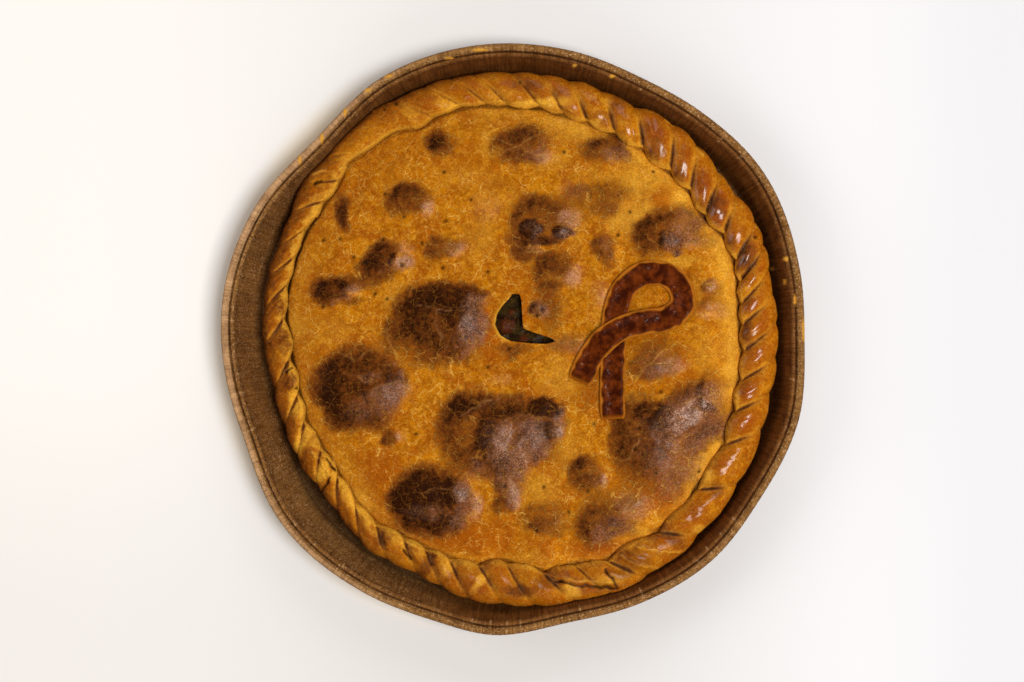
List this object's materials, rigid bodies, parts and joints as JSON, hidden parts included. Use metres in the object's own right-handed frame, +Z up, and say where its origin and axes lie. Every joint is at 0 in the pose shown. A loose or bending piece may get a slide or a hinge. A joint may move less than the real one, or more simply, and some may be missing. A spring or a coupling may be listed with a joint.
{
  "type": "octopus empanada",
  "caption": "Round two-crust savoury pie with a twisted rope edge, blistered lid with an open vent and a dough ribbon, in a rolled-edge brown paper tray.",
  "frame": {"origin": "centre of the tray's footprint, on the surface it stands on", "axes": "+Z up out of the pie's lid, +Y towards the top of the picture, +X towards its right"},
  "size_m": [0.3398, 0.3444, 0.0368],
  "materials": {
    "tray": "matt brown baking paper",
    "base_crust": "egg-washed baked dough, half gloss",
    "filling": "moist, glossy",
    "lid": "egg-washed baked dough, half gloss",
    "ribbon": "dark glazed dough, glossy"
  },
  "bodies": {
    "root": {"tray": "tray", "base_crust": "base_crust", "filling": "filling", "lid": "lid", "ribbon": "ribbon"}
  },
  "joints": []
}
